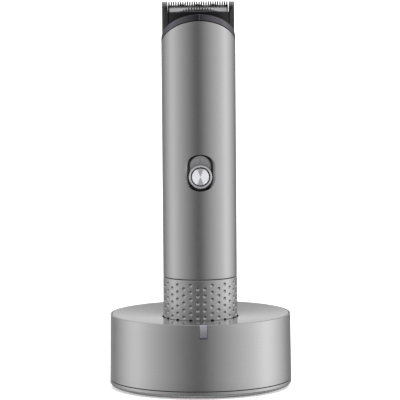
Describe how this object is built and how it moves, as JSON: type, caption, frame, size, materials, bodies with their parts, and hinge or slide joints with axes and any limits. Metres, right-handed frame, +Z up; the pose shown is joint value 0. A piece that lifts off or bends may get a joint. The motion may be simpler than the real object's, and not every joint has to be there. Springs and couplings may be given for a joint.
{
  "type": "body groomer",
  "caption": "Cordless cylindrical body groomer with a slanted blade head and a front slide switch, standing in a round charging stand.",
  "frame": {"origin": "middle of the stand's underside, on the surface it rests on", "axes": "+Z up along the handpiece, front with the slide switch towards -Y"},
  "size_m": [0.0962, 0.0962, 0.2042],
  "materials": {
    "satin_metal": "satin gunmetal metallic",
    "pan_metal": "satin gunmetal metallic",
    "lid_metal": "semi-gloss gunmetal metallic",
    "collar_metal": "polished dark gunmetal",
    "black_gloss": "gloss black",
    "black_plastic": "matte black",
    "grey_plastic": "satin grey",
    "white_plastic": "natural white",
    "rubber": "matte black",
    "chrome": "polished",
    "spun_steel": "spun, with radial glints",
    "blade_steel": "ground steel",
    "steel": "zinc plated",
    "cast_iron": "rough",
    "contact_brass": "bright",
    "circuit_board": "green solder mask",
    "cell_wrap": "blue shrink wrap",
    "lens": "frosted translucent",
    "red_wire": "insulation"
  },
  "bodies": {
    "base": {"base_wall": "satin_metal", "base_top_plate": "lid_metal", "base_pan": "pan_metal", "foot_ring": "rubber", "base_screw_1": "steel", "base_screw_2": "steel", "base_screw_3": "steel", "base_screw_4": "steel", "ballast_ring": "cast_iron", "socket_cup": "black_plastic", "pin_block": "white_plastic", "base_circuit_board": "circuit_board", "usb_inlet": "steel", "indicator_lens": "lens", "indicator_led": "white_plastic"},
    "left_pin": {"charge_pin_left": "contact_brass"},
    "right_pin": {"charge_pin_right": "contact_brass"},
    "handpiece": {"tail_cap": "black_plastic", "contact_left": "contact_brass", "contact_right": "contact_brass", "grip_sleeve": "satin_metal", "seam_seal": "rubber", "casing_tube": "satin_metal", "collar": "collar_metal", "switch_bezel": "black_plastic", "switch_plate": "grey_plastic", "chassis_front": "white_plastic", "chassis_rear": "white_plastic", "battery_cell": "cell_wrap", "battery_tab_bottom": "steel", "battery_tab_top": "steel", "control_board": "circuit_board", "micro_switch": "black_plastic", "motor_can": "steel", "motor_bracket": "grey_plastic", "bracket_screw_left": "steel", "bracket_screw_right": "steel", "motor_lead_left": "red_wire", "motor_lead_right": "black_plastic", "charge_lead_left": "red_wire", "charge_lead_right": "black_plastic"},
    "switch": {"button_ring": "chrome", "button_disc": "spun_steel", "switch_slider": "black_plastic", "dust_strip": "black_plastic"},
    "rotor": {"motor_shaft": "steel", "eccentric_cam": "black_plastic"},
    "blade_head": {"head_frame": "black_gloss", "front_cover": "black_gloss", "fixed_blade": "blade_steel", "blade_screw_left": "steel", "blade_screw_right": "steel", "cutter_spring": "steel"},
    "cutter": {"moving_blade": "blade_steel", "drive_carrier": "white_plastic"}
  },
  "joints": [
    {"name": "handpiece_lift", "type": "slide", "parent": "base", "child": "handpiece", "axis": [0, 0, 1], "range_m": [0, 0.06]},
    {"name": "left_pin_press", "type": "slide", "parent": "base", "child": "left_pin", "axis": [0, 0, 1], "range_m": [-0.0015, 0], "stiffness_N_per_m": 400, "springref_m": 0.0005},
    {"name": "right_pin_press", "type": "slide", "parent": "base", "child": "right_pin", "axis": [0, 0, 1], "range_m": [-0.0015, 0], "stiffness_N_per_m": 400, "springref_m": 0.0005},
    {"name": "switch_slide", "type": "slide", "parent": "handpiece", "child": "switch", "axis": [0, 0, 1], "range_m": [0, 0.0047]},
    {"name": "motor_spin", "type": "hinge", "parent": "handpiece", "child": "rotor", "pos_m": [0, 0, 0.165], "axis": [0, 0, 1], "continuous": true},
    {"name": "head_pull", "type": "slide", "parent": "handpiece", "child": "blade_head", "axis": [0, 0, 1], "range_m": [0, 0.025]},
    {"name": "cutter_stroke", "type": "slide", "parent": "blade_head", "child": "cutter", "axis": [1, 0, 0], "range_m": [-0.0008, 0.0008]}
  ]
}
